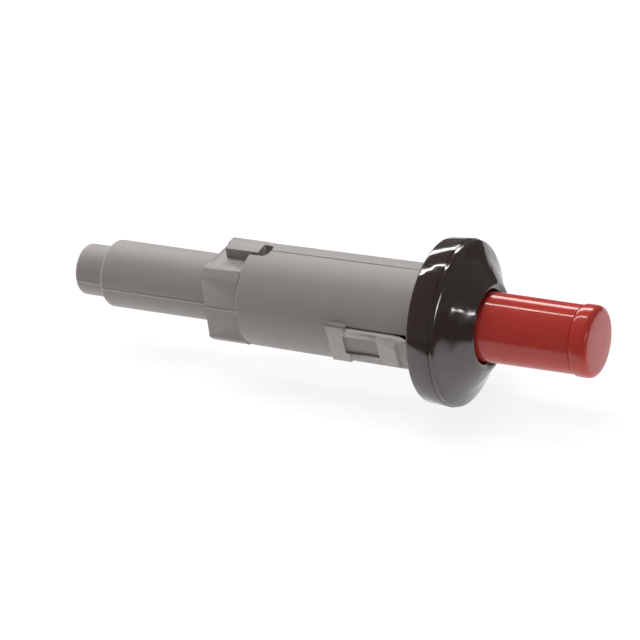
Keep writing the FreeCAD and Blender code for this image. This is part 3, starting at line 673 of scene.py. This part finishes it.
class IGNITER_OT_works(bpy.types.Operator):
    """Gives each inner piece the finish of its real material"""

    bl_idname = "igniter.works"
    bl_label = "Inner works"

    def execute(self, context):
        finishes = (
            (natural_acetal(), ("plunger", "guide_sleeve", "insulating_sleeve")),
            (drawn_spring_wire(), ("return_spring", "impact_spring", "reset_spring")),
            (turned_steel(), ("thrust_washer", "hammer", "cross_pin", "anvil", "rear_electrode")),
            (vulcanised_fibre(), ("buffer_washer",)),
            (nitrile_rubber(), ("anvil_ring",)),
            (fired_ceramic(), ("piezo_front", "piezo_rear")),
            (rolled_brass(), ("centre_plate", "terminal_pin", "ground_strip")),
        )
        for material, nodes in finishes:
            for node in nodes:
                NODES[node].material_slots[0].material = material
        return {"FINISHED"}


class IGNITER_OT_stage(bpy.types.Operator):
    """Sets the floor, the soft lights, the world and the camera"""

    bl_idname = "igniter.stage"
    bl_label = "Stage"

    def execute(self, context):
        settings = context.scene.igniter_stage
        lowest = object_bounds()[0].z
        clear_selection()
        bpy.ops.mesh.primitive_plane_add(size=FLOOR_SIZE, location=(0, 0, lowest))
        floor = context.object
        floor.name = "paper_floor"
        floor.data.materials.append(self.paper(settings.floor_colour))
        floor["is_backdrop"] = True
        self.world()
        for name, place, along, length, width, power in LIGHTS:
            self.softbox(name, place, Vector(along), length, width, getattr(settings, power))
        # The wide cloth is too dull to show in gloss, so only the strips draw highlights
        bpy.data.objects["fill_cloth"].visible_glossy = False
        self.camera()
        context.scene.view_settings.view_transform = "Standard"
        return {"FINISHED"}

    def paper(self, colour):
        """White paper that keeps the shadow and shows white to the camera and in reflections."""
        material = bpy.data.materials.new("white_paper")
        material.use_nodes = True
        tree = material.node_tree
        tree.nodes.clear()
        path = add_node(tree, "ShaderNodeLightPath", {})
        mirrored = add_node(tree, "ShaderNodeMath", {"operation": "MAXIMUM"},
                            {0: path.outputs["Is Glossy Ray"], 1: path.outputs["Is Transmission Ray"]})
        # In reflections the paper lies in a pool of light, and fades to dusk beyond it
        coordinates = add_node(tree, "ShaderNodeTexCoord", {})
        x, y = POOL_CENTRE
        disc = add_node(tree, "ShaderNodeMapping",
                        {"Location": (-x / POOL_REACH, -y / POOL_REACH, 0),
                         "Scale": (1 / POOL_REACH, 1 / POOL_REACH, 1)},
                        {"Vector": coordinates.outputs["Object"]})
        reach = add_node(tree, "ShaderNodeVectorMath", {"operation": "LENGTH"},
                         {0: disc.outputs["Vector"]})
        pool = add_node(tree, "ShaderNodeMapRange",
                        {"From Min": POOL_FADE[0], "From Max": POOL_FADE[1],
                         "To Min": POOL_BRIGHTNESS[0], "To Max": POOL_BRIGHTNESS[1]},
                        {"Value": reach.outputs["Value"]})
        dusk = add_node(tree, "ShaderNodeEmission", {"Color": grey(1)}, {"Strength": pool.outputs["Result"]})
        # Light that falls on the igniter comes off the plain paper
        plain = add_node(tree, "ShaderNodeBsdfDiffuse", {"Color": (*colour, 1)})
        bounce = add_node(tree, "ShaderNodeEmission", {"Color": grey(1), "Strength": PAPER_BOUNCE})
        diffuse = add_node(tree, "ShaderNodeAddShader", {},
                           {0: plain.outputs["BSDF"], 1: bounce.outputs["Emission"]})
        # The camera sees white with a faint shadow
        faint = add_node(tree, "ShaderNodeBsdfDiffuse", {"Color": grey(PAPER_TONE)})
        glow = add_node(tree, "ShaderNodeEmission", {"Color": grey(1), "Strength": PAPER_GLOW})
        white = add_node(tree, "ShaderNodeAddShader", {},
                         {0: faint.outputs["BSDF"], 1: glow.outputs["Emission"]})
        shown = add_node(tree, "ShaderNodeMixShader", {},
                         {"Fac": path.outputs["Is Camera Ray"], 1: diffuse.outputs["Shader"],
                          2: white.outputs["Shader"]})
        mix = add_node(tree, "ShaderNodeMixShader", {},
                       {"Fac": mirrored.outputs["Value"], 1: shown.outputs["Shader"],
                        2: dusk.outputs["Emission"]})
        add_node(tree, "ShaderNodeOutputMaterial", {}, {"Surface": mix.outputs["Shader"]})
        return material

    def world(self):
        """Grey walls of a studio, dimmer overhead, that show white behind the igniter."""
        world = bpy.data.worlds.new("studio_walls")
        bpy.context.scene.world = world
        world.use_nodes = True
        tree = world.node_tree
        tree.nodes.clear()
        place = add_node(tree, "ShaderNodeTexCoord", {})
        parts = add_node(tree, "ShaderNodeSeparateXYZ", {}, {"Vector": place.outputs["Generated"]})
        ramp = add_node(tree, "ShaderNodeValToRGB", {}, {"Fac": parts.outputs["Z"]})
        for element, (height, level) in zip(ramp.color_ramp.elements, (WALL_FOOT, WALL_TOP)):
            element.position = height
            element.color = grey(level)
        walls = add_node(tree, "ShaderNodeBackground", {"Strength": 1.0}, {"Color": ramp.outputs["Color"]})
        behind = add_node(tree, "ShaderNodeBackground", {"Color": grey(1), "Strength": BACKDROP_WHITE})
        path = add_node(tree, "ShaderNodeLightPath", {})
        shown = add_node(tree, "ShaderNodeMixShader", {},
                         {"Fac": path.outputs["Is Camera Ray"], 1: walls.outputs["Background"],
                          2: behind.outputs["Background"]})
        add_node(tree, "ShaderNodeOutputWorld", {}, {"Surface": shown.outputs["Shader"]})

    def softbox(self, name, place, along, length, width, power):
        """Oblong softbox that faces the igniter, with its long side in a direction."""
        bpy.ops.object.light_add(type="AREA", location=place)
        light = bpy.context.object
        light.name = name
        light.data.energy = power
        light.data.shape = "RECTANGLE"
        light.data.size = length
        light.data.size_y = width
        back = Vector(place).normalized()
        side = (along - back * along.dot(back)).normalized()
        light.rotation_euler = Matrix((side, back.cross(side), back)).transposed().to_euler()

    def camera(self):
        """Camera at the photograph's angle: the axis leans towards it at the button's end."""
        towards = Vector((0, -math.sin(SEAM_TURN), math.cos(SEAM_TURN)))
        above = Vector((0, math.cos(SEAM_TURN), math.sin(SEAM_TURN)))
        level = AXIS * math.cos(AXIS_TURN) - towards * math.sin(AXIS_TURN)
        right = level * math.cos(CAMERA_ROLL) + above * math.sin(CAMERA_ROLL)
        down = level * math.sin(CAMERA_ROLL) - above * math.cos(CAMERA_ROLL)
        away = right.cross(down)
        across, drop, distance = CAMERA_OFFSET
        place = (-across * right - drop * down - distance * away) * MM
        bpy.ops.object.camera_add(location=place)
        camera = bpy.context.object
        camera.rotation_euler = Matrix((right, -down, -away)).transposed().to_euler()
        camera.data.lens = CAMERA_LENS
        camera.data.sensor_width = 36.0
        camera.data.clip_start = 0.05
        camera.data.clip_end = 20.0
        bpy.context.scene.camera = camera


class IGNITER_PT_panel(bpy.types.Panel):
    """Lists the igniter's pieces and its stage"""

    bl_idname = "IGNITER_PT_panel"
    bl_label = "Piezo igniter"
    bl_space_type = "VIEW_3D"
    bl_region_type = "UI"
    bl_category = "Igniter"

    def draw(self, context):
        column = self.layout.column()
        for name in ("body_colour", "bezel_colour", "button_colour", "edge_softness"):
            column.prop(context.scene.igniter_look, name)
        for name in ("key_power", "top_power", "fill_power", "side_power", "floor_colour"):
            column.prop(context.scene.igniter_stage, name)
        for operator in OPERATORS:
            column.operator(operator.bl_idname)


OPERATORS = (IGNITER_OT_body, IGNITER_OT_bezel, IGNITER_OT_button, IGNITER_OT_works, IGNITER_OT_stage)
CLASSES = (IgniterLook, StageSettings) + OPERATORS + (IGNITER_PT_panel,)


def register():
    for cls in CLASSES:
        bpy.utils.register_class(cls)
    bpy.types.Scene.igniter_look = bpy.props.PointerProperty(type=IgniterLook)
    bpy.types.Scene.igniter_stage = bpy.props.PointerProperty(type=StageSettings)


def unregister():
    del bpy.types.Scene.igniter_stage
    del bpy.types.Scene.igniter_look
    for cls in reversed(CLASSES):
        bpy.utils.unregister_class(cls)


def main():
    register()
    bpy.ops.igniter.body()
    bpy.ops.igniter.bezel()
    bpy.ops.igniter.button()
    bpy.ops.igniter.works()
    bpy.ops.igniter.stage()


if __name__ == "__main__":
    main()
